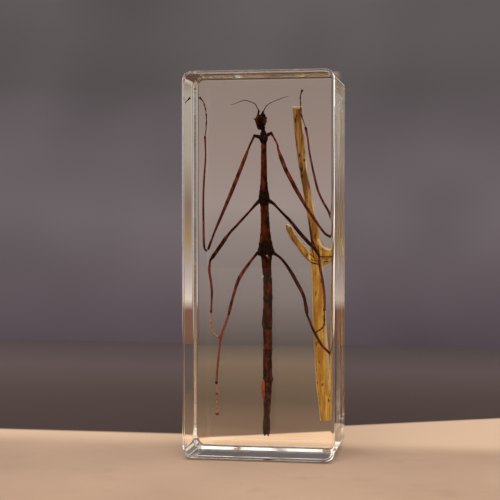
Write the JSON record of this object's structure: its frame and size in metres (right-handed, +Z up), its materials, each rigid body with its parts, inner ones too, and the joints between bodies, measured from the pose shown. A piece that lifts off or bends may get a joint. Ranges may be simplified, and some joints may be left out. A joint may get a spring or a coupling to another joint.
{
  "type": "insect in resin block",
  "caption": "Clear cast-resin block standing on its short end, with a dried stick insect spread beside a slim forked twig sealed inside it for display.",
  "frame": {"origin": "centre of the block's underside, the short end that it stands on", "axes": "+Z up along the block's height, -Y towards the viewer out of the large front face, +X to the viewer's right"},
  "size_m": [0.044, 0.03, 0.111],
  "materials": {
    "clear_resin": "polished",
    "insect_cuticle": "satin",
    "insect_legs": "satin",
    "twig": "matte"
  },
  "bodies": {
    "root": {"resin_block": "clear_resin"}
  },
  "joints": []
}
